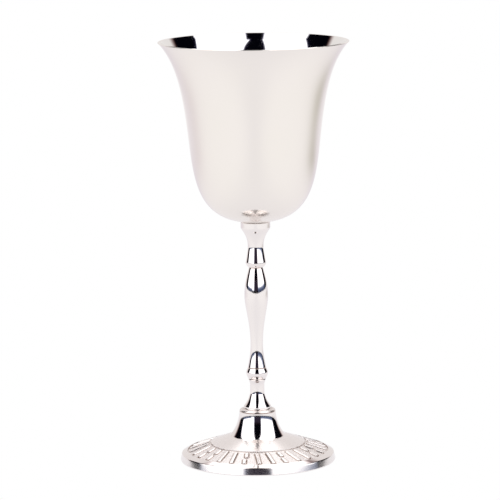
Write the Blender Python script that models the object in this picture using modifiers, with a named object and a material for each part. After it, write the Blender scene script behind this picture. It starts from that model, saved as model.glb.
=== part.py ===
"""A kiddush cup: a tulip bowl on a turned stem, which stands on a round foot.

Every piece is turned about the Z axis, and the cup stands on Z = 0 with its axis through the origin.
Outlines are (radius, height) points in millimetres, and the solids are in metres.
"""

import math

import bmesh
import bpy
from mathutils import Matrix, Vector
from mathutils.geometry import interpolate_bezier

MM = 0.001
JOINT_GAP = 0.3

# The whole cup
HEIGHT = 169.1
LIP_RADIUS = 38.0
FOOT_RADIUS = 31.2

# The bowl: a spun cup of even sheet, which flares from its waist to the lip
BOWL_WALL = 1.1
LIP_ROUND = 0.28
LIP_INSIDE = 1.08
LIP_END = 166.7
LIP_FLARE = 42.5
WAIST_RADIUS = 26.0
WAIST_HEIGHT = 127.5
WAIST_LEAN = 6.5
BOWL_BOTTOM = 96.8

# The stem, from the collar down: radius and height of each place where its outline turns
COLLAR_RADIUS = 5.92
COLLAR_FOOT = 94.8
COLLAR_ROUND = 0.2
NECK = (3.13, 86.9)
RING_TOP = (4.02, 80.8)
RING_EDGE = (4.12, 80.35)
RING_FOOT = (2.95, 78.55)
BALUSTER_TOP = (2.84, 78.2)
BALUSTER_BELLY = (4.73, 66.6)
BALUSTER_WAIST = (2.5, 47.6)
BALUSTER_FOOT = (3.66, 37.9)
BEAD_TOP = (3.72, 37.5)
BEAD_EDGE = (4.37, 35.45)
BEAD_FOOT = (3.62, 33.3)
BAND_TOP = (3.45, 32.8)
COLUMN_TOP = (2.9, 30.9)
COLUMN_FOOT = (2.88, 27.1)
FLARE_FOOT = (5.47, 21.9)
STEM_FOOT = 21.45
GROOVE_DEPTH = 0.28

# The foot: a bell on a low cone, with a sunk band of raised strokes
SHOULDER_TOP = STEM_FOOT - JOINT_GAP
LEDGE_END = (6.85, 20.62)
LEDGE_LEAN = 69.0
SHOULDER_FOOT = (7.22, 20.2)
BELL_TOP = (7.3, 19.75)
BELL_HIP = (10.9, 10.26)
BELL_LEAN = 41.0
CONE_TOP = (12.3, 9.67)
CONE_SLOPE = 19.4
BAND_INNER = 19.0
BAND_OUTER = 28.4
BAND_DEPTH = 0.45
BANK_DRAFT = 0.03
RING_END = (30.5, 3.02)
EDGE_TOP = (30.68, 2.8)
EDGE_WIDEST = 0.4
EDGE_ROUND = 0.15
FOOT_WALL = 1.25
RIM_WIDTH = 1.5
RIM_DRAFT = 0.2
BELL_WALL = 1.45
HOLLOW_TOP = 18.4
HOLLOW_TOP_RADIUS = 5.0

# The strokes in the band: tall ones, and short ones in two rows, which all lean the same way
PLACES = 30
STROKE_WIDTH = 1.75
STROKE_SUNK = 0.3
STROKE_TOP_SHARE = 0.86
STROKE_LEAN = 8.0
FULL = 8.2
HALF = 3.5
ROW = 2.35

# How finely each piece is turned
BOWL_SIDES = 40
STEM_SIDES = 20
FOOT_SIDES = 48

SILVER = (0.86, 0.84, 0.82, 1.0)


def downward(lean):
    """A step down the outline. Lean is in degrees from straight down, and positive widens."""
    angle = math.radians(lean)
    return Vector((math.sin(angle), -math.cos(angle), 0.0))


def sweep(start, lean_start, end, lean_end, steps, pull_start=0.33, pull_end=0.33):
    """Points after start along a smooth stretch that leaves and arrives at the given leans."""
    first = Vector((start[0], start[1], 0.0))
    last = Vector((end[0], end[1], 0.0))
    chord = (last - first).length
    handle_start = first + downward(lean_start) * pull_start * chord
    handle_end = last - downward(lean_end) * pull_end * chord
    points = interpolate_bezier(first, handle_start, handle_end, last, steps + 1)
    return [(point.x, point.y) for point in points[1:]]


def groove(above, below, radius):
    """The bottom of a narrow V turned into the outline between two heights."""
    return [(radius - GROOVE_DEPTH, (above + below) / 2)]


def height_on(outline, radius):
    """Height at which an outline that narrows on its way down crosses a radius."""
    for (outer, top), (inner, bottom) in zip(outline, outline[1:]):
        if inner <= radius <= outer:
            return bottom + (top - bottom) * (radius - inner) / (outer - inner)
    raise ValueError("the outline doesn't cross that radius")


def inset(outline, distance):
    """The other side of a wall: the outline moved square to itself, inwards and up from the bottom."""
    moved = []
    for index, (radius, height) in enumerate(outline):
        before = outline[max(index - 1, 0)]
        after = outline[min(index + 1, len(outline) - 1)]
        along = Vector((after[0] - before[0], after[1] - before[1])).normalized()
        moved.append((radius + along.y * distance, height - along.x * distance))
    return moved


def lip_point(turn):
    """A point on the round of the lip, which is longer inwards. Turn is in degrees from outwards to up."""
    angle = math.radians(turn)
    wide = LIP_ROUND if turn < 90.0 else LIP_INSIDE
    return (LIP_RADIUS - LIP_ROUND + wide * math.cos(angle), HEIGHT - LIP_ROUND + LIP_ROUND * math.sin(angle))


def bowl_outside():
    """The outer side of the bowl, from just under the lip to the axis."""
    lip = lip_point(-LIP_FLARE)
    waist = (WAIST_RADIUS, WAIST_HEIGHT)
    bottom = (0.0, BOWL_BOTTOM)
    flare = sweep(lip, -LIP_FLARE, waist, -WAIST_LEAN, 8, pull_start=0.28, pull_end=0.4)
    belly = sweep(waist, -WAIST_LEAN, bottom, -90.0, 10, pull_start=0.46, pull_end=0.51)
    return [lip, *flare, *belly]


def bowl_outline():
    """The wall of the bowl: up the inside from the axis, over the lip and down the outside."""
    outside = bowl_outside()
    inside = inset(outside[1:-1], BOWL_WALL)
    round_lip = [lip_point(turn) for turn in (LIP_END, 135.0, 90.0, 45.0, 0.0)]
    return [(0.0, BOWL_BOTTOM + BOWL_WALL), *reversed(inside), *round_lip, *outside]


def seat_outline():
    """The dished top of the stem, from the axis to the collar, under the bowl by the joint's gap."""
    under = bowl_outside()
    seat_radius = COLLAR_RADIUS - COLLAR_ROUND
    radii = [seat_radius * share for share in (0.0, 0.4, 0.75, 1.0)]
    return [(radius, height_on(under, radius) - JOINT_GAP) for radius in radii]


def stem_outline():
    """The stem: the dished top, the collar, two knops, the column and the flare, down to the axis."""
    points = seat_outline()
    collar_top = (COLLAR_RADIUS, points[-1][1] - COLLAR_ROUND)
    collar_foot = (COLLAR_RADIUS, COLLAR_FOOT)
    points += [collar_top, collar_foot]
    points += sweep(collar_foot, 0.0, NECK, 0.0, 7, pull_start=0.15, pull_end=0.59)
    points += sweep(NECK, 0.0, RING_TOP, 9.5, 3, pull_start=0.05, pull_end=0.75)
    points += [RING_EDGE]
    points += sweep(RING_EDGE, -8.0, RING_FOOT, -55.0, 3)
    points += groove(RING_FOOT[1], BALUSTER_TOP[1], BALUSTER_TOP[0] + GROOVE_DEPTH / 2)
    points += [BALUSTER_TOP]
    points += sweep(BALUSTER_TOP, 15.0, BALUSTER_BELLY, 0.0, 5, pull_start=0.3, pull_end=0.45)
    points += sweep(BALUSTER_BELLY, 0.0, BALUSTER_WAIST, 0.0, 6, pull_start=0.21, pull_end=0.42)
    points += sweep(BALUSTER_WAIST, 0.0, BALUSTER_FOOT, 11.0, 4, pull_start=0.35, pull_end=0.5)
    points += groove(BALUSTER_FOOT[1], BEAD_TOP[1], BALUSTER_FOOT[0])
    points += [BEAD_TOP]
    points += sweep(BEAD_TOP, 24.0, BEAD_EDGE, 0.0, 3)
    points += sweep(BEAD_EDGE, 0.0, BEAD_FOOT, -25.0, 3)
    points += groove(BEAD_FOOT[1], BAND_TOP[1], BEAD_FOOT[0])
    points += [BAND_TOP]
    points += sweep(BAND_TOP, -18.0, COLUMN_TOP, 0.0, 3, pull_end=0.2)
    points += [COLUMN_FOOT]
    points += sweep(COLUMN_FOOT, 16.0, FLARE_FOOT, 37.0, 5, pull_start=0.5, pull_end=0.45)
    points += [(FLARE_FOOT[0], STEM_FOOT), (0.0, STEM_FOOT)]
    return points


def cone_height(radius):
    """Height of the flange's cone at a radius."""
    return CONE_TOP[1] - (radius - CONE_TOP[0]) * math.tan(math.radians(CONE_SLOPE))


def foot_outside():
    """The foot's outer side, from the middle of its top down to the floor."""
    inner_bank = (BAND_INNER + BANK_DRAFT, cone_height(BAND_INNER + BANK_DRAFT) - BAND_DEPTH)
    outer_bank = (BAND_OUTER - BANK_DRAFT, cone_height(BAND_OUTER - BANK_DRAFT) - BAND_DEPTH)
    ring_start = (BAND_OUTER, cone_height(BAND_OUTER))
    points = [(0.0, SHOULDER_TOP), (FLARE_FOOT[0], SHOULDER_TOP)]
    points += [LEDGE_END]
    points += sweep(LEDGE_END, LEDGE_LEAN, SHOULDER_FOOT, 0.0, 3)
    points += groove(SHOULDER_FOOT[1], BELL_TOP[1], SHOULDER_FOOT[0])
    points += [BELL_TOP]
    points += sweep(BELL_TOP, 4.0, BELL_HIP, BELL_LEAN, 6)
    points += sweep(BELL_HIP, BELL_LEAN, CONE_TOP, 90.0 - CONE_SLOPE, 3)
    points += [(BAND_INNER, cone_height(BAND_INNER)), inner_bank, outer_bank, ring_start]
    points += sweep(ring_start, 66.0, RING_END, 64.0, 2)
    points += sweep(RING_END, 64.0, EDGE_TOP, 17.0, 2)
    points += sweep(EDGE_TOP, 17.0, (FOOT_RADIUS, EDGE_WIDEST), 10.0, 2)
    points += [(FOOT_RADIUS - EDGE_ROUND, 0.0)]
    return points


def foot_hollow():
    """The foot's hidden underside, from the floor up into the bell and to the axis."""
    under_band = BAND_DEPTH + FOOT_WALL
    rim = FOOT_RADIUS - RIM_WIDTH
    band_end = BAND_OUTER - FOOT_WALL / 3
    cone_end = CONE_TOP[0] - FOOT_WALL / 3
    return [
        (rim, 0.0),
        (rim - RIM_DRAFT, FOOT_WALL),
        (band_end, cone_height(band_end) - under_band),
        (cone_end, cone_height(cone_end) - under_band),
        (BELL_HIP[0] - BELL_WALL, BELL_HIP[1] - FOOT_WALL / 3),
        (HOLLOW_TOP_RADIUS, HOLLOW_TOP),
        (0.0, HOLLOW_TOP),
    ]


def polished(name, roughness):
    """Silver plate, as smooth as the roughness says."""
    material = bpy.data.materials.new(name)
    material.use_nodes = True
    shader = material.node_tree.nodes["Principled BSDF"]
    shader.inputs["Base Color"].default_value = SILVER
    shader.inputs["Metallic"].default_value = 1.0
    shader.inputs["Roughness"].default_value = roughness
    return material


def turned(name, outline, sides, material, collection):
    """A solid of revolution from an outline that starts and ends on the axis."""
    mesh = bpy.data.meshes.new(name)
    corners = [(radius * MM, 0.0, height * MM) for radius, height in outline]
    edges = [(index, index + 1) for index in range(len(corners) - 1)]
    mesh.from_pydata(corners, edges, [])
    mesh.materials.append(material)
    piece = bpy.data.objects.new(name, mesh)
    collection.objects.link(piece)
    screw = piece.modifiers.new("turning", "SCREW")
    screw.axis = "Z"
    screw.angle = math.tau
    screw.steps = sides
    screw.render_steps = sides
    screw.use_merge_vertices = True
    screw.merge_threshold = 0.00001
    screw.use_smooth_shade = True
    return piece


def strokes_at(place):
    """The strokes of one place in the band: distance from the band's middle, and length."""
    tall = [(0.0, FULL)]
    two_rows = [(-ROW, HALF), (ROW, HALF)]
    rhythm = [tall, two_rows, tall, tall, two_rows, tall, tall, two_rows, two_rows, tall]
    return rhythm[place % len(rhythm)]


def stroke_frame(turn, distance):
    """A frame on the floor of the band: X down the cone, Y round it and Z out of it."""
    slope = math.radians(CONE_SLOPE)
    radius = (BAND_INNER + BAND_OUTER) / 2 + distance * math.cos(slope)
    height = cone_height(radius) - BAND_DEPTH
    place = Matrix.Translation((radius * MM, 0.0, height * MM))
    return Matrix.Rotation(turn, 4, "Z") @ place @ Matrix.Rotation(slope, 4, "Y")


def add_stroke(bars, turn, distance, length):
    """One raised stroke: a bar with sloping sides, let into the floor of the band."""
    made = bmesh.ops.create_cube(bars, size=1.0)
    depth = BAND_DEPTH + STROKE_SUNK
    for corner in made["verts"]:
        if corner.co.z > 0.0:
            corner.co.y *= STROKE_TOP_SHARE
    size = Matrix.Diagonal((length * MM, STROKE_WIDTH * MM, depth * MM, 1.0))
    lift = Matrix.Translation((0.0, 0.0, (depth / 2 - STROKE_SUNK) * MM))
    frame = stroke_frame(turn, distance) @ Matrix.Rotation(math.radians(STROKE_LEAN), 4, "Z")
    bmesh.ops.transform(bars, matrix=frame @ lift @ size, verts=made["verts"])


def stroke_bars(collection):
    """All the strokes of the band as one tool, which is then joined to the foot."""
    bars = bmesh.new()
    for place in range(PLACES):
        turn = math.tau * (place + 0.5) / PLACES
        for distance, length in strokes_at(place):
            add_stroke(bars, turn, distance, length)
    mesh = bpy.data.meshes.new("stroke_bars")
    bars.to_mesh(mesh)
    bars.free()
    tool = bpy.data.objects.new("stroke_bars", mesh)
    tool.hide_render = True
    tool.display_type = "WIRE"
    collection.objects.link(tool)
    return tool


def joined(piece, tool):
    """The piece with the tool's shape made one with it."""
    union = piece.modifiers.new("strokes", "BOOLEAN")
    union.operation = "UNION"
    union.solver = "EXACT"
    union.object = tool
    return piece


def build():
    """The cup's three pieces."""
    for item in list(bpy.data.objects):
        bpy.data.objects.remove(item, do_unlink=True)
    cup = bpy.data.collections.new("kiddush_cup")
    tools = bpy.data.collections.new("cutting_tools")
    bpy.context.scene.collection.children.link(cup)
    bpy.context.scene.collection.children.link(tools)
    turned("bowl", bowl_outline(), BOWL_SIDES, polished("polished_silver", 0.06), cup)
    turned("stem", stem_outline(), STEM_SIDES, polished("turned_silver", 0.08), cup)
    foot = turned("foot", foot_outside() + foot_hollow(), FOOT_SIDES, polished("cast_silver", 0.14), cup)
    joined(foot, stroke_bars(tools))


build()
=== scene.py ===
# %% [markdown]
# # A kiddush cup in polished silver plate
#
# The real cup is three pieces: a bowl spun from sheet, a turned stem, and a foot with a band of
# raised strokes round it. All three are round, and all three are mirrors, so most of what the eye
# reads is the studio, bent by the outlines. The lesson therefore spends its care on two things:
# clean turned surfaces, and lights that stand in the right places.

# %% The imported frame
import math

import bpy
import numpy as np
from mathutils import Matrix, Vector
from mathutils.geometry import interpolate_bezier


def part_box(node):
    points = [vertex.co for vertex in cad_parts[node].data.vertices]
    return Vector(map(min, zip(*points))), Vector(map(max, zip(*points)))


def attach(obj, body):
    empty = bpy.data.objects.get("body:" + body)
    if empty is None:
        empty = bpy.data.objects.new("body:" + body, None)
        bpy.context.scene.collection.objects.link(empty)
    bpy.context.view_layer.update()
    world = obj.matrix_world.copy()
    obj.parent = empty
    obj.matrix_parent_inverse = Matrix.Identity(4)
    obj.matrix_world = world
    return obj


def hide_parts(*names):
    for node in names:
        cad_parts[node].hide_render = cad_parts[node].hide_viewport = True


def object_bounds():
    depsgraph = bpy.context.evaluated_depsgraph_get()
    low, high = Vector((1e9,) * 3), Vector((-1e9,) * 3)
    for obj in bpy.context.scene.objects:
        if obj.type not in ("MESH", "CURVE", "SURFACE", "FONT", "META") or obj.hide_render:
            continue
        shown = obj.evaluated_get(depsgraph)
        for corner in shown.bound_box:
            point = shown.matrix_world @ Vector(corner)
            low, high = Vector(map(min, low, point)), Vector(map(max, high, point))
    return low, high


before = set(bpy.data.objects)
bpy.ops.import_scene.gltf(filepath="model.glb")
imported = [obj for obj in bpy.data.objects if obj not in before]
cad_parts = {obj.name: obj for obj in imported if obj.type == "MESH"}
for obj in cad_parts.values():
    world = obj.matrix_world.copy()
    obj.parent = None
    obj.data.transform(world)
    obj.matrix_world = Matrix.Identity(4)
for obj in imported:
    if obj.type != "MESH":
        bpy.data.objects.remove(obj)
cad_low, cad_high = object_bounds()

MM = 0.001
print("cup, mm:", [round((high - low) / MM, 2) for low, high in zip(cad_low, cad_high)])

# %% [markdown]
# ## The camera
#
# The cup is seen from a little above its lip, through a long lens, as table silver usually is: the
# sides stay parallel and the lip shows as a thin ellipse. The camera is aimed at a point on the
# cup's axis, so its place follows from a distance, a height and that point. It is turned about its
# own line of sight by a little over half a degree, so that the cup leans by a hair.

# %% The camera
CAMERA_DISTANCE = 1.250
CAMERA_HEIGHT = 0.2845
AIM_HEIGHT = 0.084
LENS = 227.8
CAMERA_ROLL = math.radians(-0.64)
SHIFT = (-0.0115, 0.0069)


def aimed(place, target, roll=0.0):
    """The matrix of something that stands at place and looks at target."""
    sight = (Vector(target) - Vector(place)).to_track_quat("-Z", "Y").to_matrix().to_4x4()
    return Matrix.Translation(place) @ sight @ Matrix.Rotation(roll, 4, "Z")


lens = bpy.data.cameras.new("camera")
lens.lens = LENS
lens.shift_x, lens.shift_y = SHIFT
camera = bpy.data.objects.new("camera", lens)
bpy.context.scene.collection.objects.link(camera)
camera.matrix_world = aimed((0.0, -CAMERA_DISTANCE, CAMERA_HEIGHT), (0.0, 0.0, AIM_HEIGHT), CAMERA_ROLL)
bpy.context.scene.camera = camera
down_angle = math.degrees(math.atan2(CAMERA_HEIGHT - AIM_HEIGHT, CAMERA_DISTANCE))
print("the camera looks down by", round(down_angle, 2), "degrees")

# %% [markdown]
# ## Outlines
#
# A turned piece is known by its outline alone: the line that a template cut to half the piece would
# have. Each outline here is a list of (radius, height) points in millimetres. Straight runs need two
# points, and every curved run is one call of `sweep`, which leaves one point at a given lean and
# arrives at the next at another. Lean is counted in degrees from straight down, and a positive lean
# widens the piece. The two pulls say how long the curve keeps to each lean, as a share of the
# distance between the points. Long, calm curves make long, calm reflections, so a few of them do
# more than many short ones.

# %% Curved runs of an outline
def downward(lean):
    """A step down the outline."""
    angle = math.radians(lean)
    return Vector((math.sin(angle), -math.cos(angle), 0.0))


def sweep(start, lean_start, end, lean_end, steps, pull_start=0.33, pull_end=0.33):
    """Points after start along one smooth run of the outline."""
    first = Vector((*start, 0.0))
    last = Vector((*end, 0.0))
    chord = (last - first).length
    handle_start = first + downward(lean_start) * pull_start * chord
    handle_end = last - downward(lean_end) * pull_end * chord
    points = interpolate_bezier(first, handle_start, handle_end, last, steps + 1)
    return [(point.x, point.y) for point in points[1:]]


cove = sweep((5.0, 4.0), 0.0, (9.0, 0.0), 90.0, 3)
print("points of a cove:", [(round(radius, 2), round(height, 2)) for radius, height in cove])

# %% Walls and grooves
def inset(outline, distance):
    """The other side of a wall: the outline moved square to itself, inwards and up."""
    moved = []
    for index, (radius, height) in enumerate(outline):
        before = outline[max(index - 1, 0)]
        after = outline[min(index + 1, len(outline) - 1)]
        along = Vector((after[0] - before[0], after[1] - before[1])).normalized()
        moved.append((radius + along.y * distance, height - along.x * distance))
    return moved


def groove(above, below, radius, depth):
    """The bottom of a narrow V that is turned into the outline between two heights."""
    return [(radius - depth, (above + below) / 2)]


print("a groove 0.3 deep between heights 8 and 7:", groove(8.0, 7.0, 5.0, 0.3))

# %% [markdown]
# ## Turning, with Geometry Nodes
#
# A lathe repeats one outline all the way round, so the rule is: point number p of side number s is
# outline point p, turned by s parts of a full turn. A Screw modifier would do it too. The node tree
# is chosen because it also takes marks from the outline along, and because it can close the seam and
# the two poles in the same place. A grid gives the right number of points and faces, and every point
# is then sent to its own place. The outline carries three marks: "crease", where the tool has cut a
# sharp corner inwards and dirt collects, "ground", which says how matt the metal is left, and
# "inner_wall", on the inside of a vessel.

# %% A small kit for node trees
def new_tree(name, inputs):
    """A Geometry Nodes tree with a geometry in and out, and named inputs for its sizes."""
    tree = bpy.data.node_groups.new(name, "GeometryNodeTree")
    tree.interface.new_socket("Geometry", in_out="INPUT", socket_type="NodeSocketGeometry")
    for label, kind, value in inputs:
        socket = tree.interface.new_socket(label, in_out="INPUT", socket_type=kind)
        if value is not None:
            socket.default_value = value
    tree.interface.new_socket("Geometry", in_out="OUTPUT", socket_type="NodeSocketGeometry")
    return tree


def add(tree, kind, sockets=None, **settings):
    """One node, with its settings made and its sockets joined or filled in."""
    node = tree.nodes.new(kind)
    for key, value in settings.items():
        setattr(node, key, value)
    for label, value in (sockets or {}).items():
        if isinstance(value, bpy.types.NodeSocket):
            tree.links.new(value, node.inputs[label])
        else:
            node.inputs[label].default_value = value
    return node


def maths(tree, operation, *values):
    """The result of one Math node on one to three values."""
    return add(tree, "ShaderNodeMath", dict(enumerate(values)), operation=operation).outputs[0]


def attribute(tree, name, kind="FLOAT"):
    """The values that a mesh carries under a name, in a Geometry Nodes tree."""
    return add(tree, "GeometryNodeInputNamedAttribute", {"Name": name}, data_type=kind).outputs["Attribute"]


print("helpers for node trees are ready in Blender", bpy.app.version_string)

# %% The end of a tree, and running it
def finish_tree(tree, geometry, material):
    """The end of every tree: real geometry and its material."""
    real = add(tree, "GeometryNodeRealizeInstances", {"Geometry": geometry})
    coated = add(tree, "GeometryNodeSetMaterial", {"Geometry": real.outputs[0], "Material": material})
    add(tree, "NodeGroupOutput", {"Geometry": coated.outputs[0]})
    print("the tree", tree.name, "has", len(tree.nodes), "nodes")


def grown(name, start, tree, **sizes):
    """Runs a tree on a start mesh, and keeps the result as a plain mesh of that name."""
    piece = bpy.data.objects.new(name, start)
    bpy.context.scene.collection.objects.link(piece)
    modifier = piece.modifiers.new(tree.name, "NODES")
    modifier.node_group = tree
    for socket in tree.interface.items_tree:
        if socket.in_out == "INPUT" and socket.name in sizes:
            modifier[socket.identifier] = sizes[socket.name]
    evaluated = piece.evaluated_get(bpy.context.evaluated_depsgraph_get())
    made = bpy.data.meshes.new_from_object(evaluated)
    piece.modifiers.remove(modifier)
    piece.data = made
    made.name = name
    print(name, "has", sum(len(face.vertices) - 2 for face in made.polygons), "triangles")
    return piece


# %% The lathe
MARKS = ("crease", "ground", "inner_wall")
WELD = 0.000002
SHARP_EDGE = math.radians(24)


def lathe_tree():
    """Turns the outline that comes in, a line of points in the XZ plane, about the Z axis."""
    tree = new_tree(
        "lathe",
        [
            ("Sides", "NodeSocketInt", 256),
            ("Weld", "NodeSocketFloat", WELD),
            ("Crease", "NodeSocketFloat", SHARP_EDGE),
            ("Material", "NodeSocketMaterial", None),
        ],
    )
    given = add(tree, "NodeGroupInput").outputs
    domain = add(tree, "GeometryNodeAttributeDomainSize", {"Geometry": given["Geometry"]})
    count = domain.outputs["Point Count"]
    rings = maths(tree, "ADD", given["Sides"], 1.0)
    grid = add(tree, "GeometryNodeMeshGrid", {"Vertices X": rings, "Vertices Y": count}).outputs["Mesh"]
    index = add(tree, "GeometryNodeInputIndex").outputs[0]
    side = maths(tree, "FLOOR", maths(tree, "DIVIDE", maths(tree, "ADD", index, 0.5), count))
    along = maths(tree, "SUBTRACT", index, maths(tree, "MULTIPLY", side, count))
    place = add(tree, "GeometryNodeInputPosition").outputs[0]
    outline = add(
        tree,
        "GeometryNodeSampleIndex",
        {"Geometry": given["Geometry"], "Value": place, "Index": along},
        data_type="FLOAT_VECTOR",
    ).outputs[0]
    for mark in MARKS:
        taken = add(
            tree,
            "GeometryNodeSampleIndex",
            {"Geometry": given["Geometry"], "Value": attribute(tree, mark), "Index": along},
        ).outputs[0]
        grid = add(
            tree, "GeometryNodeStoreNamedAttribute", {"Geometry": grid, "Name": mark, "Value": taken}
        ).outputs[0]
    turn = maths(tree, "DIVIDE", maths(tree, "MULTIPLY", side, math.tau), given["Sides"])
    turned_point = add(
        tree, "ShaderNodeVectorRotate", {"Vector": outline, "Angle": turn}, rotation_type="Z_AXIS"
    ).outputs[0]
    shape = add(tree, "GeometryNodeSetPosition", {"Geometry": grid, "Position": turned_point}).outputs[0]
    closed = add(
        tree, "GeometryNodeMergeByDistance", {"Geometry": shape, "Distance": given["Weld"]}
    ).outputs[0]
    outward = add(tree, "GeometryNodeFlipFaces", {"Mesh": closed}).outputs[0]
    bend = add(tree, "GeometryNodeInputMeshEdgeAngle").outputs["Unsigned Angle"]
    soft = maths(tree, "LESS_THAN", bend, given["Crease"])
    faces = add(tree, "GeometryNodeSetShadeSmooth", {"Geometry": outward, "Shade Smooth": True}).outputs[0]
    edges = add(
        tree, "GeometryNodeSetShadeSmooth", {"Geometry": faces, "Shade Smooth": soft}, domain="EDGE"
    ).outputs[0]
    finish_tree(tree, edges, given["Material"])
    return tree


LATHE = lathe_tree()

# %% Marking an outline, and turning it
CREASE_START = 25.0
CREASE_FULL = 70.0


def creases(outline):
    """How sharply the outline turns inwards at each point: 0 on a smooth run, 1 in a narrow groove."""
    marks = [0.0]
    for before, here, after in zip(outline, outline[1:], outline[2:]):
        arriving = math.atan2(here[1] - before[1], here[0] - before[0])
        leaving = math.atan2(after[1] - here[1], after[0] - here[0])
        turn = math.degrees((leaving - arriving + math.pi) % math.tau - math.pi)
        marks.append(min(max((turn - CREASE_START) / (CREASE_FULL - CREASE_START), 0.0), 1.0))
    return [*marks, 0.0]


def nowhere(point):
    """A mark that no point of the outline gets."""
    return 0.0


def turned(name, outline, sides, material, matting=nowhere, inside_marking=nowhere):
    """A solid of revolution. Its outline starts and ends on the axis, and runs down its outer side."""
    line = bpy.data.meshes.new(name + "_outline")
    points = [(radius * MM, 0.0, height * MM) for radius, height in outline]
    line.from_pydata(points, [(index, index + 1) for index in range(len(points) - 1)], [])
    ground = [matting(point) for point in outline]
    inner_wall = [inside_marking(point) for point in outline]
    for mark, values in zip(MARKS, (creases(outline), ground, inner_wall)):
        line.attributes.new(mark, "FLOAT", "POINT").data.foreach_set("value", values)
    return grown(name, line, LATHE, Sides=sides, Material=material)


print("a square inner corner is marked", creases([(2.0, 2.0), (2.0, 1.0), (3.0, 1.0)])[1])

# %% [markdown]
# ## Silver
#
# Silver plate is a mirror with a faint warm tint. What keeps it from looking like a computer's
# mirror is small: the polishing wheel leaves the surface a little uneven, so straight reflections
# waver, and fine scratches and fingermarks spread the light by different amounts from place to
# place. The unevenness is a bump of tiny height and long wavelength, and the marks move only the
# roughness. Both read the object's own coordinates, so they stay on the silver when it is moved.
# The cloth doesn't reach into grooves, where a brown film of tarnish stays behind. The shader finds
# those places, the matt ones and the inside of the bowl by the marks that the lathe has written on
# the mesh. The plate on the bowl is a little warmer than that on the two castings. The inside of the
# bowl is painted whiter: a painted brightening for the light that leaves it only after several
# reflections.

# %% Colours and patterns that vary over a surface
def new_shader(name):
    """A new material with its Principled shader, and its tree."""
    material = bpy.data.materials.new(name)
    material.use_nodes = True
    tree = material.node_tree
    return material, tree, tree.nodes["Principled BSDF"]


def noise(tree, scale, detail=2.0):
    """A noise over the object's own coordinates, with scale in waves per metre."""
    place = add(tree, "ShaderNodeTexCoord").outputs["Object"]
    return add(tree, "ShaderNodeTexNoise", {"Vector": place, "Scale": scale, "Detail": detail}).outputs[0]


def ranged(tree, value, low, high):
    """A value from 0 to 1 spread between low and high."""
    return add(tree, "ShaderNodeMapRange", {"Value": value, "To Min": low, "To Max": high}).outputs[0]


def mixed(tree, factor, first, second):
    """A colour between two, by a factor that varies over the surface."""
    blend = add(tree, "ShaderNodeMix", data_type="RGBA")
    for label, value in (("Factor", factor), ("A", first), ("B", second)):
        if isinstance(value, bpy.types.NodeSocket):
            tree.links.new(value, blend.inputs[label])
        else:
            blend.inputs[label].default_value = value
    return blend.outputs["Result"]


print("helpers for materials are ready")

# %% Polished silver
SPUN_TINTS = ((0.875, 0.825, 0.79, 1.0), (0.865, 0.82, 0.77, 1.0))
CAST_TINTS = ((0.88, 0.83, 0.82, 1.0), (0.87, 0.825, 0.80, 1.0))
SPUN_WAVES = (45.0, 0.00004)
CAST_WAVES = (70.0, 0.00001)
FILM_SCALE = 38.0
FILM_DETAIL = 3.0
FILM_SPREAD = (-0.6, 1.2)
SCRATCH_SCALE = 90.0
SCRATCH_DETAIL = 6.0


def silver(name, tints, roughness, waves):
    """Polished silver plate: two tints, the least and most roughness, and its waves.

    The waves are a scale in waves per metre and a height in metres.
    """
    material, tree, shader = new_shader(name)
    shader.inputs["Metallic"].default_value = 1.0
    film = ranged(tree, noise(tree, FILM_SCALE, FILM_DETAIL), *FILM_SPREAD)
    tree.links.new(mixed(tree, film, *tints), shader.inputs["Base Color"])
    scratches = noise(tree, SCRATCH_SCALE, SCRATCH_DETAIL)
    tree.links.new(ranged(tree, scratches, *roughness), shader.inputs["Roughness"])
    wave_scale, wave_height = waves
    bump = add(tree, "ShaderNodeBump", {"Height": noise(tree, wave_scale), "Distance": wave_height})
    tree.links.new(bump.outputs[0], shader.inputs["Normal"])
    return material


BOWL_SILVER = silver("bowl_silver", SPUN_TINTS, (0.03, 0.07), SPUN_WAVES)
STEM_SILVER = silver("stem_silver", CAST_TINTS, (0.04, 0.09), CAST_WAVES)
FOOT_SILVER = silver("foot_silver", CAST_TINTS, (0.05, 0.11), CAST_WAVES)
print("silver:", [material.name for material in (BOWL_SILVER, STEM_SILVER, FOOT_SILVER)])

# %% Tarnish, matt metal and the inside of the bowl
TARNISH = (0.30, 0.19, 0.13, 1.0)
CREASE_DIRT = 0.75
DIRT_ROUGHNESS = 0.2
# The whiter colour of the bowl's inside is painted light, for the light that leaves it after several
# reflections
INSIDE_PAINTED_LIGHT = (0.895, 0.885, 0.865, 1.0)
BOWL_MATT = 0.14
FOOT_MATT = 0.28


def marked(tree, mark):
    """How strongly a mark shows at each place of the mesh."""
    return add(tree, "ShaderNodeAttribute", attribute_name=mark).outputs["Fac"]


def tint(tree, factor, colour):
    """Brings another colour into the silver, by a factor."""
    socket = tree.nodes["Principled BSDF"].inputs["Base Color"]
    tree.links.new(mixed(tree, factor, socket.links[0].from_socket, colour), socket)


def roughen(tree, factor, roughness):
    """Adds roughness to the silver, by a factor."""
    socket = tree.nodes["Principled BSDF"].inputs["Roughness"]
    tree.links.new(maths(tree, "MULTIPLY_ADD", factor, roughness, socket.links[0].from_socket), socket)


def tarnish(material):
    """Leaves dirt in the creases and round the strokes."""
    tree = material.node_tree
    in_creases = maths(tree, "MULTIPLY", marked(tree, "crease"), CREASE_DIRT)
    dirt = maths(tree, "MAXIMUM", in_creases, marked(tree, "stain"))
    tint(tree, dirt, TARNISH)
    roughen(tree, dirt, DIRT_ROUGHNESS)


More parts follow.
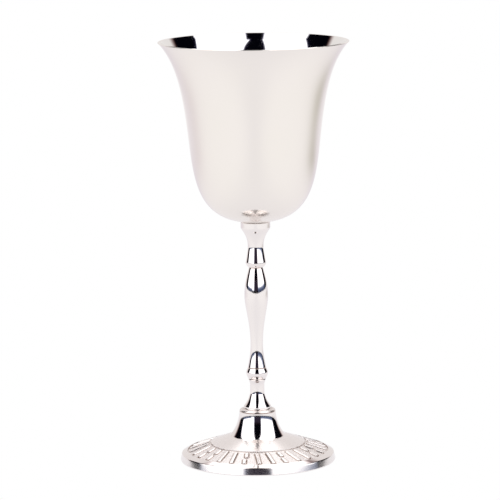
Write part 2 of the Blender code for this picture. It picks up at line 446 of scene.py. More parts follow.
# Paints the inside of the bowl whiter, as painted light, where the inner_wall mark is set
tint(BOWL_SILVER.node_tree, marked(BOWL_SILVER.node_tree, "inner_wall"), INSIDE_PAINTED_LIGHT)
roughen(BOWL_SILVER.node_tree, marked(BOWL_SILVER.node_tree, "ground"), BOWL_MATT)
roughen(FOOT_SILVER.node_tree, marked(FOOT_SILVER.node_tree, "ground"), FOOT_MATT)
tarnish(STEM_SILVER)
tarnish(FOOT_SILVER)
print("the foot's silver has", len(FOOT_SILVER.node_tree.nodes), "nodes")

# %% [markdown]
# ## The bowl
#
# The bowl is spun: a disc of sheet is pressed over a form while both turn, so the wall has the same
# thickness everywhere and the inside repeats the outside. That is how it is made here as well. Only
# the outer line is drawn, from the lip through the waist to the bottom, and the inner line is the
# same one moved in by the wall. The lip is rounded over as a spinner would burnish it, because a
# sharp lip would be unpleasant to drink from. The bottom is satin, because the polishing wheel
# doesn't get close to the collar.

# %% The outline of the bowl
LIP_RADIUS = cad_high.x / MM
HEIGHT = cad_high.z / MM
LIP_ROUND = 0.16
LIP_INSIDE = 1.08
LIP_FLARE = 42.5
LIP_END = 166.7
LIP_STEPS = 16
WAIST_RADIUS = 26.0
WAIST_HEIGHT = 127.5
WAIST_LEAN = 6.5
BOWL_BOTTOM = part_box("bowl")[0].z / MM
BOWL_STEPS = 60


def lip_point(turn):
    """A point on the round of the lip, which is longer inwards. Turn is in degrees from outwards to up."""
    angle = math.radians(turn)
    wide = LIP_ROUND if turn < 90.0 else LIP_INSIDE
    radius = LIP_RADIUS - LIP_ROUND + wide * math.cos(angle)
    return (radius, HEIGHT - LIP_ROUND + LIP_ROUND * math.sin(angle))


def bowl_outside():
    """The outside of the bowl, from the lip down to the axis."""
    lip = lip_point(-LIP_FLARE)
    waist = (WAIST_RADIUS, WAIST_HEIGHT)
    bottom = (0.0, BOWL_BOTTOM)
    flare = sweep(lip, -LIP_FLARE, waist, -WAIST_LEAN, BOWL_STEPS, pull_start=0.28, pull_end=0.4)
    belly = sweep(waist, -WAIST_LEAN, bottom, -90.0, BOWL_STEPS, pull_start=0.46, pull_end=0.51)
    return [lip, *flare, *belly]


outer_wall = bowl_outside()
round_lip = [lip_point(turn) for turn in np.linspace(LIP_END, -LIP_FLARE, LIP_STEPS + 1)[:-1]]
print("the outside of the bowl has", len(outer_wall), "points, and its lip", len(round_lip))

# %% The wall of the bowl
BOWL_WALL = 1.1
BOWL_SIDES = 256
SATIN_START = 17.0
SATIN_END = 22.0

inner_wall = [(0.0, BOWL_BOTTOM + BOWL_WALL), *reversed(inset(outer_wall[1:-1], BOWL_WALL))]


def in_bowl(point):
    """Marks the inner wall."""
    return float(point in inner_wall)


def under_bowl(point):
    """How satin the outside is: fully up to one radius, and less and less up to another."""
    near_collar = (SATIN_END - point[0]) / (SATIN_END - SATIN_START)
    return 0.0 if point in inner_wall else min(max(near_collar, 0.0), 1.0)


def filled(line):
    """How much a vessel with this inner line holds to its brim, in millilitres."""
    rings = zip(line, line[1:])
    cones = [(top[1] - low[1]) * (low[0] ** 2 + low[0] * top[0] + top[0] ** 2) for low, top in rings]
    return math.pi / 3 * sum(cones) / 1000.0


bowl = turned("cup_bowl", inner_wall + round_lip + outer_wall, BOWL_SIDES, BOWL_SILVER, under_bowl, in_bowl)
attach(bowl, "root")
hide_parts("bowl")
print("the bowl holds", round(filled(inner_wall)), "ml")

# %% [markdown]
# ## The stem
#
# The stem is a casting, cleaned on the lathe from the collar down as a row of plain shapes, most of
# them parted from the next by a fine groove: a neck, a ring, a long baluster, a bead, a short column
# and a flare. The grooves are what the eye reads as separate mouldings, so they are kept sharp, while
# everything between them is smooth. The bead and the band under it lean in only a little at their
# undersides, because a steep one would mirror the foot and look dirty.

# %% The places where the stem's outline turns
COLLAR_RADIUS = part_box("stem")[1].x / MM
STEM_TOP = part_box("stem")[1].z / MM
SEAT_DISH = 0.4
COLLAR_FOOT = 94.8
COLLAR_ROUND = 0.2
NECK = (3.13, 86.9)
RING_TOP = (4.02, 80.8)
RING_EDGE = (4.12, 80.35)
RING_FOOT = (2.95, 78.55)
BALUSTER_TOP = (2.84, 78.2)
BALUSTER_BELLY = (4.73, 66.6)
BALUSTER_WAIST = (2.5, 47.6)
BALUSTER_FOOT = (3.66, 37.9)
BEAD_TOP = (3.72, 37.5)
BEAD_EDGE = (4.37, 35.45)
BEAD_FOOT = (3.62, 33.3)
BAND_TOP = (3.45, 32.8)
COLUMN_TOP = (2.9, 30.9)
COLUMN_FOOT = (2.88, 27.1)
FLARE_FOOT = (5.47, 21.9)
STEM_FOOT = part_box("stem")[0].z / MM
GROOVE_DEPTH = 0.28
print("the stem is", round(STEM_TOP - STEM_FOOT, 2), "mm long")

# %% The stem
STEM_SIDES = 128


def stem_outline():
    """The stem, from its top to the middle of its foot."""
    collar_foot = (COLLAR_RADIUS, COLLAR_FOOT)
    # The collar, dished on top, and the neck
    points = [(0.0, STEM_TOP - SEAT_DISH), (COLLAR_RADIUS - COLLAR_ROUND, STEM_TOP)]
    points += [(COLLAR_RADIUS, STEM_TOP - COLLAR_ROUND), collar_foot]
    points += sweep(collar_foot, 0.0, NECK, 0.0, 28, pull_start=0.15, pull_end=0.59)
    # The cone and the ring under it
    points += sweep(NECK, 0.0, RING_TOP, 9.5, 12, pull_start=0.05, pull_end=0.75)
    points += [RING_EDGE]
    points += sweep(RING_EDGE, -8.0, RING_FOOT, -55.0, 10)
    points += groove(RING_FOOT[1], BALUSTER_TOP[1], BALUSTER_TOP[0], GROOVE_DEPTH / 2)
    # The baluster
    points += [BALUSTER_TOP]
    points += sweep(BALUSTER_TOP, 15.0, BALUSTER_BELLY, 0.0, 20, pull_start=0.3, pull_end=0.45)
    points += sweep(BALUSTER_BELLY, 0.0, BALUSTER_WAIST, 0.0, 28, pull_start=0.21, pull_end=0.42)
    points += sweep(BALUSTER_WAIST, 0.0, BALUSTER_FOOT, 11.0, 20, pull_start=0.35, pull_end=0.5)
    points += groove(BALUSTER_FOOT[1], BEAD_TOP[1], BALUSTER_FOOT[0], GROOVE_DEPTH)
    # The bead
    points += [BEAD_TOP]
    points += sweep(BEAD_TOP, 24.0, BEAD_EDGE, 0.0, 10)
    points += sweep(BEAD_EDGE, 0.0, BEAD_FOOT, -25.0, 10)
    points += groove(BEAD_FOOT[1], BAND_TOP[1], BEAD_FOOT[0], GROOVE_DEPTH)
    # The column and the flare
    points += [BAND_TOP]
    points += sweep(BAND_TOP, -18.0, COLUMN_TOP, 0.0, 10, pull_end=0.2)
    points += [COLUMN_FOOT]
    points += sweep(COLUMN_FOOT, 16.0, FLARE_FOOT, 37.0, 20, pull_start=0.5, pull_end=0.45)
    points += [(FLARE_FOOT[0], STEM_FOOT), (0.0, STEM_FOOT)]
    return points


stem = turned("cup_stem", stem_outline(), STEM_SIDES, STEM_SILVER)
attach(stem, "root")
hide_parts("stem")

# %% [markdown]
# ## The foot
#
# The foot is cast: a bell that carries the stem, on a low cone that spreads to the edge. The band
# is a shallow trough in the cone, so that the strokes in it end almost flush with the metal on both
# sides and don't wear first when the cup is wiped. The stem is soldered on, and the solder runs out
# into a fine fillet on the ledge round the flare. The cone, the ledge and the worn edge are satin,
# and only the bell and the plain ring outside the band are full mirrors.

# %% The places where the foot's outline turns
FOOT_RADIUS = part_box("foot")[1].x / MM
SHOULDER_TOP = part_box("foot")[1].z / MM
SOLDER = 0.05
SOLDER_GAP = 0.01
LEDGE_END = (6.85, 20.62)
LEDGE_LEAN = 69.0
SHOULDER_FOOT = (7.22, 20.2)
BELL_TOP = (7.3, 19.75)
BELL_HIP = (10.9, 10.26)
BELL_LEAN = 41.0
CONE_TOP = (12.3, 9.67)
CONE_SLOPE = 19.4
BAND_INNER = 19.0
BAND_OUTER = 28.4
BAND_DEPTH = 0.45
BANK_DRAFT = 0.03
RING_END = (30.5, 3.02)
RING_LEAN = 64.0
EDGE_TOP = (30.68, 2.8)
EDGE_WIDEST = 0.4
EDGE_ROUND = 0.15


def cone_height(radius):
    """Height of the foot's cone at a radius."""
    return CONE_TOP[1] - (radius - CONE_TOP[0]) * math.tan(math.radians(CONE_SLOPE))


def straight(start, end, steps):
    """Points after start along a straight run, close together for a fine ground."""
    return [
        (start[0] + (end[0] - start[0]) * step / steps, start[1] + (end[1] - start[1]) * step / steps)
        for step in range(1, steps + 1)
    ]


print("the band lies", round(cone_height(BAND_OUTER), 1), "to", round(cone_height(BAND_INNER), 1), "mm up")

# %% The outer side of the foot
def foot_outside():
    """The foot's outer side, from the middle of its top down to the floor."""
    # The fillet of solder, the ledge and the shoulder ring
    solder_top = STEM_FOOT - SOLDER_GAP
    points = [(0.0, solder_top), (FLARE_FOOT[0] - SOLDER, solder_top)]
    points += [(FLARE_FOOT[0] + SOLDER, SHOULDER_TOP), LEDGE_END]
    points += sweep(LEDGE_END, LEDGE_LEAN, SHOULDER_FOOT, 0.0, 10)
    points += groove(SHOULDER_FOOT[1], BELL_TOP[1], SHOULDER_FOOT[0], GROOVE_DEPTH)
    # The bell, and the cone as far as the band
    points += [BELL_TOP]
    points += sweep(BELL_TOP, 4.0, BELL_HIP, BELL_LEAN, 24)
    points += sweep(BELL_HIP, BELL_LEAN, CONE_TOP, 90.0 - CONE_SLOPE, 12)
    inner_edge = (BAND_INNER, cone_height(BAND_INNER))
    points += straight(points[-1], inner_edge, 6)
    # The band between its two banks
    inner_bank = (BAND_INNER + BANK_DRAFT, cone_height(BAND_INNER + BANK_DRAFT) - BAND_DEPTH)
    outer_bank = (BAND_OUTER - BANK_DRAFT, cone_height(BAND_OUTER - BANK_DRAFT) - BAND_DEPTH)
    points += straight(inner_edge, inner_bank, 2)
    points += straight(inner_bank, outer_bank, 34)
    # The plain ring and the edge
    ring_start = (BAND_OUTER, cone_height(BAND_OUTER))
    points += [ring_start]
    points += sweep(ring_start, 66.0, RING_END, RING_LEAN, 8)
    points += sweep(RING_END, RING_LEAN, EDGE_TOP, 14.0, 6)
    points += sweep(EDGE_TOP, 12.7, (FOOT_RADIUS, EDGE_WIDEST), 11.9, 6)
    points += [(FOOT_RADIUS - EDGE_ROUND, 0.0)]
    return points


print("the foot's outer side has", len(foot_outside()), "points")

# %% Its hollow underside
FOOT_WALL = 1.25
RIM_WIDTH = 1.5
RIM_DRAFT = 0.2
BELL_WALL = 1.45
HOLLOW_TOP = 18.4
HOLLOW_TOP_RADIUS = 5.0


def foot_hollow():
    """The hidden underside, from the floor up into the bell and to the axis."""
    under_band = BAND_DEPTH + FOOT_WALL
    rim = FOOT_RADIUS - RIM_WIDTH
    corner = FOOT_WALL / 3
    band_end = BAND_OUTER - corner
    cone_end = CONE_TOP[0] - corner
    return [
        (rim, 0.0),
        (rim - RIM_DRAFT, FOOT_WALL),
        (band_end, cone_height(band_end) - under_band),
        (cone_end, cone_height(cone_end) - under_band),
        (BELL_HIP[0] - BELL_WALL, BELL_HIP[1] - corner),
        (HOLLOW_TOP_RADIUS, HOLLOW_TOP),
        (0.0, HOLLOW_TOP),
    ]


print("the hollow is", HOLLOW_TOP, "mm high, and the metal over it", FOOT_WALL, "mm, measured upright")

# %% Where the foot is matt
SATIN = 0.4
LEDGE_MATT = 0.45
WORN = 0.32
ON_LINE = 0.01


def matting(point):
    """How matt the foot is at a point: 1 on the floor of the band, 0 on the bell and the plain ring."""
    radius, height = point
    under_cone = cone_height(radius) - height
    if radius > EDGE_TOP[0] and height > 0.0:
        return WORN
    if height > SHOULDER_FOOT[1]:
        return LEDGE_MATT
    if radius <= BELL_HIP[0] or radius > BAND_OUTER:
        return 0.0
    return 1.0 if abs(under_cone - BAND_DEPTH) < ON_LINE else SATIN * (under_cone < ON_LINE)


print("the cone is", matting((BAND_INNER, cone_height(BAND_INNER))), "matt")

# %% [markdown]
# ## The strokes in the band
#
# The raised strokes belong to the casting: bars with soft edges and sides that slope a little, so
# that they leave the mould. They differ only in length and place, so two bars are made, a tall one
# and a short one, and each is copied to its places by Geometry Nodes. A guide point carries its turn
# round the cup and says whether its bar is tall. The soft edges come from subdividing a box, which
# rounds it by half of its mesh width. The strokes are rubbed but not polished, so they carry the
# "ground" mark too, at a part of its strength.

# %% Where the strokes stand
PLACES = 30
FULL = 8.2
HALF = 3.5
ROW = 2.35


def strokes_at(place):
    """The strokes of one place in the band: distance from the band's middle, and length."""
    tall = [(0.0, FULL)]
    two_rows = [(-ROW, HALF), (ROW, HALF)]
    rhythm = [tall, two_rows, tall, tall, two_rows, tall, tall, two_rows, two_rows, tall]
    return rhythm[place % len(rhythm)]


def stroke_guides():
    """A point on the floor of the band for each stroke, with its turn and whether it is tall."""
    points, turns, tall = [], [], []
    for place in range(PLACES):
        turn = math.tau * (place + 0.5) / PLACES
        for distance, length in strokes_at(place):
            radius = (BAND_INNER + BAND_OUTER) / 2 + distance * math.cos(math.radians(CONE_SLOPE))
            height = cone_height(radius) - BAND_DEPTH
            points.append((radius * math.cos(turn) * MM, radius * math.sin(turn) * MM, height * MM))
            turns.append(turn)
            tall.append(length == FULL)
    guides = bpy.data.meshes.new("stroke_guides")
    guides.from_pydata(points, [], [])
    guides.attributes.new("turn", "FLOAT", "POINT").data.foreach_set("value", turns)
    guides.attributes.new("tall", "BOOLEAN", "POINT").data.foreach_set("value", tall)
    print(len(points), "strokes,", sum(tall), "of them tall")
    return guides


GUIDES = stroke_guides()

# %% One bar
STROKE_WIDTH = 1.75
STROKE_SUNK = 0.3
STROKE_PROUD = 0.05
STROKE_TOP_SHARE = 0.86
CUTS_ACROSS = 3
SOFTENING = 2


def bar(tree, given, length, cuts):
    """A bar with soft edges and sloping sides, its length along X and its foot a little under Z = 0."""
    sides = {"X": length, "Y": given["Width"], "Z": given["Depth"]}
    size = add(tree, "ShaderNodeCombineXYZ", sides).outputs[0]
    box = add(
        tree,
        "GeometryNodeMeshCube",
        {"Size": size, "Vertices X": cuts, "Vertices Y": CUTS_ACROSS, "Vertices Z": CUTS_ACROSS},
    ).outputs["Mesh"]
    soft = add(tree, "GeometryNodeSubdivisionSurface", {"Mesh": box, "Level": SOFTENING}).outputs["Mesh"]
    place = add(tree, "GeometryNodeInputPosition").outputs[0]
    x, y, z = add(tree, "ShaderNodeSeparateXYZ", {"Vector": place}).outputs
    rise = maths(tree, "ADD", maths(tree, "DIVIDE", z, given["Depth"]), 0.5)
    narrow = maths(tree, "MULTIPLY_ADD", rise, maths(tree, "SUBTRACT", given["Top Share"], 1.0), 1.0)
    lifted = maths(tree, "SUBTRACT", maths(tree, "MULTIPLY_ADD", given["Depth"], 0.5, z), given["Sunk"])
    sloped = maths(tree, "MULTIPLY", y, narrow)
    moved = add(tree, "ShaderNodeCombineXYZ", {"X": x, "Y": sloped, "Z": lifted}).outputs[0]
    return add(tree, "GeometryNodeSetPosition", {"Geometry": soft, "Position": moved}).outputs[0]


print("a stroke stands", round(BAND_DEPTH + STROKE_PROUD, 2), "mm above the floor of the band")

# %% The tree of the strokes
STROKE_LEAN = 8.0
STROKE_MATT = 0.6
TALL_CUTS = 11
SHORT_CUTS = 6


def strokes_tree():
    """Puts a tall or a short bar on each guide point, square to the cone and leaning to one side."""
    tree = new_tree(
        "strokes",
        [
            ("Tall", "NodeSocketFloat", FULL * MM),
            ("Short", "NodeSocketFloat", HALF * MM),
            ("Width", "NodeSocketFloat", STROKE_WIDTH * MM),
            ("Depth", "NodeSocketFloat", (BAND_DEPTH + STROKE_SUNK + STROKE_PROUD) * MM),
            ("Sunk", "NodeSocketFloat", STROKE_SUNK * MM),
            ("Top Share", "NodeSocketFloat", STROKE_TOP_SHARE),
            ("Slope", "NodeSocketFloat", math.radians(CONE_SLOPE)),
            ("Lean", "NodeSocketFloat", math.radians(STROKE_LEAN)),
            ("Material", "NodeSocketMaterial", None),
        ],
    )
    given = add(tree, "NodeGroupInput").outputs
    tall = attribute(tree, "tall", "BOOLEAN")
    short = add(tree, "FunctionNodeBooleanMath", {0: tall}, operation="NOT").outputs[0]
    turn = attribute(tree, "turn")
    facing = add(tree, "ShaderNodeCombineXYZ", {"Y": given["Slope"], "Z": turn}).outputs[0]
    standing = add(tree, "FunctionNodeEulerToRotation", {"Euler": facing}).outputs[0]
    lean = add(tree, "ShaderNodeCombineXYZ", {"Z": given["Lean"]}).outputs[0]
    sideways = add(tree, "FunctionNodeEulerToRotation", {"Euler": lean}).outputs[0]
    turned_bar = add(
        tree,
        "FunctionNodeRotateRotation",
        {"Rotation": standing, "Rotate By": sideways},
        rotation_space="LOCAL",
    ).outputs[0]
    join = add(tree, "GeometryNodeJoinGeometry")
    for chosen, length, cuts in ((tall, given["Tall"], TALL_CUTS), (short, given["Short"], SHORT_CUTS)):
        bars = add(
            tree,
            "GeometryNodeInstanceOnPoints",
            {
                "Points": given["Geometry"],
                "Selection": chosen,
                "Instance": bar(tree, given, length, cuts),
                "Rotation": turned_bar,
            },
        ).outputs[0]
        tree.links.new(bars, join.inputs[0])
    smooth_bars = add(tree, "GeometryNodeSetShadeSmooth", {"Geometry": join.outputs[0]}).outputs[0]
    rubbed = add(
        tree,
        "GeometryNodeStoreNamedAttribute",
        {"Geometry": smooth_bars, "Name": "ground", "Value": STROKE_MATT},
    ).outputs[0]
    finish_tree(tree, rubbed, given["Material"])
    return tree


strokes = grown("cup_strokes", GUIDES, strokes_tree(), Material=FOOT_SILVER)
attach(strokes, "root")
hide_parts("foot")

# %% [markdown]
# ## The ground between the strokes
#
# The floor of the band is matted, so that the bright strokes stand out from it: a blunt punch is
# tapped all over it, mark beside mark. A Voronoi pattern spreads points in just that way, each as
# far from its neighbours as they allow, and the distance to the nearest one is the shape of a dent.
# The dents are real, because they have to catch light from the side. They are made only where the
# "ground" mark says that the metal is fully matt. The same tree measures how far each place is from
# the nearest stroke, and leaves a stain close to it, where a polishing cloth can't reach.

# %% The tree of the punched ground
PUNCH_SPACING = 0.62
PUNCH_SCATTER = 0.75
PUNCH_DEPTH = 0.07
DENT_FLAT = 0.12
DENT_RIM = 0.5
STAIN_REACH = 0.55
PUNCHED = 0.5


def ground_tree():
    """Dents the ground of the turned foot, and marks how close each point is to a stroke."""
    tree = new_tree(
        "matted_ground",
        [
            ("Strokes", "NodeSocketObject", None),
            ("Spacing", "NodeSocketFloat", PUNCH_SPACING * MM),
            ("Depth", "NodeSocketFloat", PUNCH_DEPTH * MM),
            ("Reach", "NodeSocketFloat", STAIN_REACH * MM),
            ("Material", "NodeSocketMaterial", None),
        ],
    )
    given = add(tree, "NodeGroupInput").outputs
    bars = add(tree, "GeometryNodeObjectInfo", {"Object": given["Strokes"]}).outputs["Geometry"]
    away = add(tree, "GeometryNodeProximity", {"Geometry": bars}).outputs["Distance"]
    closeness = add(
        tree,
        "ShaderNodeMapRange",
        {"Value": away, "From Max": given["Reach"], "To Min": 1.0, "To Max": 0.0},
        interpolation_type="SMOOTHSTEP",
    ).outputs[0]
    scale = maths(tree, "DIVIDE", 1.0, given["Spacing"])
    pattern = {"Scale": scale, "Randomness": PUNCH_SCATTER}
    nearest = add(tree, "ShaderNodeTexVoronoi", pattern).outputs["Distance"]
    dent = add(
        tree,
        "ShaderNodeMapRange",
        {"Value": nearest, "From Min": DENT_FLAT, "From Max": DENT_RIM, "To Min": 1.0, "To Max": 0.0},
        interpolation_type="SMOOTHSTEP",
    ).outputs[0]
    struck = maths(tree, "GREATER_THAN", attribute(tree, "ground"), PUNCHED)
    free = maths(tree, "MULTIPLY", struck, maths(tree, "SUBTRACT", 1.0, closeness))
    depth = maths(tree, "MULTIPLY", maths(tree, "MULTIPLY", dent, free), given["Depth"])
    inward = maths(tree, "MULTIPLY", depth, -1.0)
    square = add(tree, "GeometryNodeInputNormal").outputs[0]
    offset = add(tree, "ShaderNodeVectorMath", {0: square, "Scale": inward}, operation="SCALE").outputs[0]
    dented = add(
        tree, "GeometryNodeSetPosition", {"Geometry": given["Geometry"], "Offset": offset}
    ).outputs[0]
    stain = maths(tree, "MULTIPLY", struck, closeness)
    stained = add(
        tree, "GeometryNodeStoreNamedAttribute", {"Geometry": dented, "Name": "stain", "Value": stain}
    ).outputs[0]
    finish_tree(tree, stained, given["Material"])
    return tree


# %% The foot
FOOT_SIDES = 720

plain_foot = turned("plain_foot", foot_outside() + foot_hollow(), FOOT_SIDES, FOOT_SILVER, matting)
foot = grown("cup_foot", plain_foot.data, ground_tree(), Strokes=strokes, Material=FOOT_SILVER)
bpy.data.objects.remove(plain_foot)
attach(foot, "root")
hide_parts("foot")

# %% [markdown]
# ## The studio
#
# Round silver can't be lit with lamps: it would show each of them as a dot. It is lit with large
# bright sheets of cloth instead, and what lies between the sheets shows as the dark lines that give
# the shape. Two sheets stand left and right in front, with a gap between them where the camera
# looks through, and the inner corner of the left one hangs lower. A little light leaks out under
# both, and a faint glow comes through the gap. One more sheet, the canopy, is stretched overhead,
# with a tail that hangs down behind in front of a pale wall. The rest of the room is dark.
#
# Real sheets have soft edges, because cloth is brightest where the lamp behind it is near. So the
# sheets are painted as light on one dome round the cup, each as a window with soft edges, which also
# spares the trouble of one sheet hiding the edge of another. Directions on the dome are in degrees:
# to the right from the camera's side, and up from the horizon.

# %% Directions on the dome
DOME_MIDDLE = AIM_HEIGHT
DOME_RADIUS = 1.5
DOME_STEP = 1.0
DOME_FOOT = -8.0

around = np.arange(0.0, 360.0, DOME_STEP)
upward = np.arange(DOME_FOOT, 90.0 + DOME_STEP / 2, DOME_STEP)
azimuth, elevation = (grid.ravel() for grid in np.meshgrid(around, upward, indexing="ij"))
print("the dome has", len(azimuth), "points")

# %% Windows with soft edges
SIDE_GLOW = 0.022
SIDE_GLOW_WIDTH = 3.0


def smooth(value):
    """A soft step: 0 below 0, 1 above 1, and an even rise between."""
    value = np.clip(value, 0.0, 1.0)
    return value * value * (3.0 - 2.0 * value)


def inside(distance, softness):
    """1 well inside an edge and 0 well outside it, with the half right on the edge."""
    return smooth(distance / softness + 0.5)


def window(foot, head, heights, bend, softness):
    """Light in a window on the dome, with a faint glow beside it.

    Its left and right sides go from foot to head, and bend near the head. Softness is that of the
    sides, the bottom and the top.
    """
    rise = np.clip((elevation - heights[0]) / (heights[1] - heights[0]), 0.0, 1.0) ** bend
    left = foot[0] + (head[0] - foot[0]) * rise
    right = foot[1] + (head[1] - foot[1]) * rise
    turn = (azimuth - (left + right) / 2 + 180.0) % 360.0 - 180.0
    depth = (right - left) / 2 - np.abs(turn)
    side, bottom, top = softness
    across = inside(depth, side) + SIDE_GLOW * np.exp(-np.maximum(-depth, 0.0) / SIDE_GLOW_WIDTH)
    upright = inside(elevation - heights[0], bottom) * inside(heights[1] - elevation, top)
    return np.minimum(across, 1.0) * upright


def strip(sides, heights, softness):
    """Light in a window whose sides are upright."""
    return window(sides, sides, heights, 1.0, softness)


def percent_of_dome(light):
    """How many of the dome's points are well lit, in percent."""
    return round(float(np.mean(light > 0.5)) * 100)


# %% The two sheets, and the wall behind
left_sheet = window(
    foot=(-94.0, -21.5), head=(-119.0, -20.5), heights=(1.2, 66.0), bend=6.0, softness=(3.0, 2.5, 3.0)
)
right_sheet = window(
    foot=(20.0, 97.0), head=(8.0, 182.0), heights=(3.2, 66.0), bend=6.0, softness=(3.0, 3.5, 3.0)
)
wall = window(
    foot=(138.0, 233.0), head=(178.0, 184.0), heights=(-6.0, 54.0), bend=2.9, softness=(16.0, 3.0, 4.0)
)
low_corner = strip(sides=(-40.0, -21.5), heights=(-1.0, 12.0), softness=(9.0, 2.0, 2.0))
tail = strip(sides=(148.0, 212.0), heights=(42.0, 60.0), softness=(8.0, 6.0, 4.0))
for label, light in (("left sheet", left_sheet), ("right sheet", right_sheet), ("wall", wall)):
    print("the", label, "covers", percent_of_dome(light), "percent of the dome's points")

# %% Light under the sheets, and in the gap
LEAK = 0.045
LEAK_RISE = 0.03
LEAK_START = -3.0
LEAK_HEIGHT = 8.0

leak = LEAK + LEAK_RISE * np.clip(elevation - LEAK_START, 0.0, LEAK_HEIGHT)
left_leak = leak * strip(sides=(-94.0, -44.0), heights=(-3.5, 7.0), softness=(4.0, 2.0, 2.0))
right_leak = leak * strip(sides=(19.0, 97.0), heights=(-5.0, 7.0), softness=(4.0, 2.0, 2.0))
gap = strip(sides=(-24.0, 23.0), heights=(-1.5, 14.0), softness=(4.0, 2.0, 12.0))
print("under the sheets up to", round(float(right_leak.max()), 2), "of their light leaks out")

# %% The canopy overhead
CANOPY_MIDDLE = 0.08
CANOPY_SIDE = 0.9
CANOPY_FRONT = 0.48
CANOPY_CORNER = 1.05
CANOPY_SOFT = 0.06
SLOT_LEFT = (-0.125, -0.1)
SLOT_RIGHT = (0.085, 0.07)
SLOT_SLANT = 1.4
SLOT_SOFT = 0.03


def canopy():
    """Light in a flat cloth overhead, in lengths of its height: cut corners at the back, and a slot."""
    reach = 1.0 / np.tan(np.radians(np.clip(elevation, 1.0, 89.9)))
    right = reach * np.sin(np.radians(azimuth))
    ahead = reach * np.cos(np.radians(azimuth))
    sideways = np.abs(right - CANOPY_MIDDLE)
    cloth = inside(CANOPY_SIDE - sideways, CANOPY_SOFT) * inside(CANOPY_FRONT - ahead, CANOPY_SOFT)
    cloth *= inside(CANOPY_CORNER - sideways + ahead, CANOPY_SOFT)
    left_side = SLOT_LEFT[0] + SLOT_LEFT[1] * ahead
    right_side = SLOT_RIGHT[0] + SLOT_RIGHT[1] * ahead
    slot = inside(right - left_side, SLOT_SOFT) * inside(right_side - right, SLOT_SOFT)
    slot *= inside(ahead + SLOT_SLANT * (right_side - right), SLOT_SOFT)
    return cloth * (1.0 - slot)


overhead = canopy()
print("the canopy covers", percent_of_dome(overhead), "percent of the dome's points")

# %% The light of all of them
HIGH_UP = 45.0
WARM_EDGE = (1.0, 1.2, 1.2)
BLUE_EDGE = (1.4, 1.27, 1.0)
VIOLET_EDGE = (1.2, 1.23, 1.0)
SHEET_LIGHT = (1.7, 1.7, 1.7)
CANOPY_LIGHT = (1.5, 1.5, 1.5)
WALL_LIGHT = (0.86, 0.83, 0.82)
GAP_LIGHT = (0.028, 0.022, 0.038)
DARK_ROOM = (0.0007, 0.0007, 0.0025)


def lit(share, radiance, low, high):
    """Light in red, green and blue, from the share of it at each point of the dome.

    A colour with a high fade leaves a soft edge first. The fades low down go over into those high up.
    """
    rise = np.clip(elevation / HIGH_UP, 0.0, 1.0)[:, None]
    fades = np.array(low) * (1.0 - rise) + np.array(high) * rise
    return np.array(radiance) * share[:, None] ** fades


glow = np.maximum.reduce(
    [
        lit(left_sheet, SHEET_LIGHT, BLUE_EDGE, VIOLET_EDGE),
        lit(right_sheet, SHEET_LIGHT, BLUE_EDGE, VIOLET_EDGE),
        lit(overhead, CANOPY_LIGHT, BLUE_EDGE, VIOLET_EDGE),
        lit(tail, CANOPY_LIGHT, WARM_EDGE, WARM_EDGE),
        lit(wall, WALL_LIGHT, WARM_EDGE, WARM_EDGE),
        lit(low_corner, SHEET_LIGHT, BLUE_EDGE, BLUE_EDGE),
        lit(left_leak, SHEET_LIGHT, BLUE_EDGE, BLUE_EDGE),
        lit(right_leak, SHEET_LIGHT, BLUE_EDGE, BLUE_EDGE),
        lit(gap, GAP_LIGHT, WARM_EDGE, WARM_EDGE),
        np.broadcast_to(DARK_ROOM, (len(azimuth), 3)),
    ]
)
print("all together light", percent_of_dome(glow.max(axis=1)), "percent of the dome's points")

# %% Parts of the studio
WHITE = (1.0, 1.0, 1.0, 1.0)


def glowing(name):
    """A material that gives off the light of the mesh's glow attribute, and looks white itself."""
    material, tree, shader = new_shader(name)
    tree.nodes.remove(shader)
    glow_colour = add(tree, "ShaderNodeAttribute", attribute_name="glow").outputs["Color"]
    seen = add(tree, "ShaderNodeLightPath").outputs["Is Camera Ray"]
    light = add(tree, "ShaderNodeEmission", {"Color": mixed(tree, seen, glow_colour, WHITE)})
    tree.links.new(light.outputs[0], tree.nodes["Material Output"].inputs["Surface"])
    return material


def shone(name, points, faces, colours):
    """A part of the studio: a mesh that shines with the given colour at each point."""
    mesh = bpy.data.meshes.new(name)
    mesh.from_pydata(points, [], faces)
    stored = mesh.attributes.new("glow", "FLOAT_COLOR", "POINT")
    stored.data.foreach_set("color", np.c_[colours, np.ones(len(colours))].astype(np.float32).ravel())
    mesh.materials.append(glowing(name))
    thing = bpy.data.objects.new(name, mesh)
    bpy.context.scene.collection.objects.link(thing)
    print(name, "made of", len(faces), "faces")
    return thing


def grid_faces(columns, rows, wraps):
    """The faces of a grid whose points are counted along its rows first."""
    return [
        (
            column * rows + row,
            (column + 1) % columns * rows + row,
            (column + 1) % columns * rows + row + 1,
            column * rows + row + 1,
        )
        for column in range(columns if wraps else columns - 1)
        for row in range(rows - 1)
    ]


# %% The dome
flat = np.cos(np.radians(elevation)) * DOME_RADIUS
dome_points = np.c_[
    np.sin(np.radians(azimuth)) * flat,
    -np.cos(np.radians(azimuth)) * flat,
    np.sin(np.radians(elevation)) * DOME_RADIUS + DOME_MIDDLE,
]
dome = shone("sheets", dome_points.tolist(), grid_faces(len(around), len(upward), True), glow)
dome.visible_camera = False

# %% [markdown]
# ## The floor
#
# The floor looks pale and plain. It gives its own light, as a table lit from below does, so the cup
# casts no real shadow on it. The bowl mirrors the floor all round, and painted shade in the floor's
# light shows there: a strip down the middle in front for the camera's shade, a faint painted shadow
# round the cup, and a dimmer far side, darkest behind on both sides, for what stands behind the
# table. That is the faint grey along the edges of the bowl.

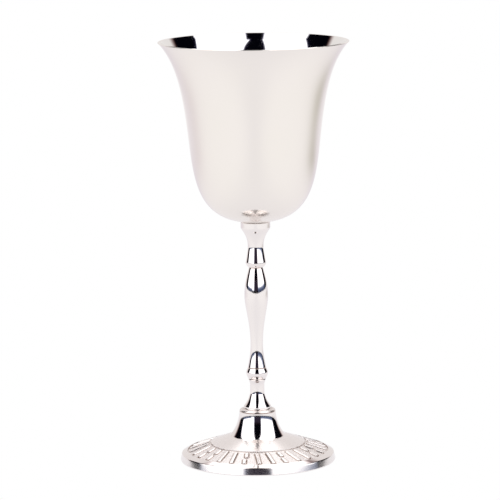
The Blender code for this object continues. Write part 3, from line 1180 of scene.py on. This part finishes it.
# %% The floor
FLOOR_FRONT = -0.95
FLOOR_BACK = 3.2
FLOOR_SIDE = 1.6
FLOOR_STEP = 0.02
FLOOR_WHITE = 1.03
# Painted shade in the floor's light, seen only in reflections: the camera's shade in front, a faint painted
# shadow round the cup, a dimmer back, and darker patches behind on the right and left
SHADES = [
    # middle, spread and loss of red, green and blue
    ((0.0, -0.35), (0.11, 0.50), (0.075, 0.078, 0.065)),
    ((0.0, 0.0), (0.10, 0.10), (0.035, 0.035, 0.025)),
    ((0.0, 0.50), (0.80, 0.36), (0.20, 0.24, 0.19)),
    ((0.43, 0.30), (0.15, 0.17), (0.27, 0.27, 0.33)),
    ((-0.46, 0.26), (0.16, 0.17), (0.06, 0.08, 0.08)),
]

across = np.arange(-FLOOR_SIDE, FLOOR_SIDE + FLOOR_STEP / 2, FLOOR_STEP)
deep = np.arange(FLOOR_FRONT, FLOOR_BACK + FLOOR_STEP / 2, FLOOR_STEP)
floor_x, floor_y = (grid.ravel() for grid in np.meshgrid(across, deep, indexing="ij"))
floor_light = np.full((len(floor_x), 3), FLOOR_WHITE)
for (shade_x, shade_y), (wide, long), loss in SHADES:
    away = ((floor_x - shade_x) / wide) ** 2 + ((floor_y - shade_y) / long) ** 2
    floor_light *= 1.0 - np.exp(-away)[:, None] * np.array(loss)[None, :]
floor_points = np.c_[floor_x, floor_y, np.zeros_like(floor_x)]
floor = shone("floor", floor_points.tolist(), grid_faces(len(across), len(deep), False), floor_light)
least_share = float(floor_light.min()) / FLOOR_WHITE
print("its darkest shade keeps", round(least_share * 100), "percent of the light")

# %% The dark room, and the white that the camera sees
world = bpy.data.worlds.new("room")
world.use_nodes = True
bpy.context.scene.world = world
room = world.node_tree
background = room.nodes["Background"]
seen = add(room, "ShaderNodeLightPath").outputs["Is Camera Ray"]
room.links.new(mixed(room, seen, (*DARK_ROOM, 1.0), WHITE), background.inputs["Color"])
bpy.context.scene.view_settings.view_transform = "Standard"
print("the room has", len(room.nodes), "nodes")
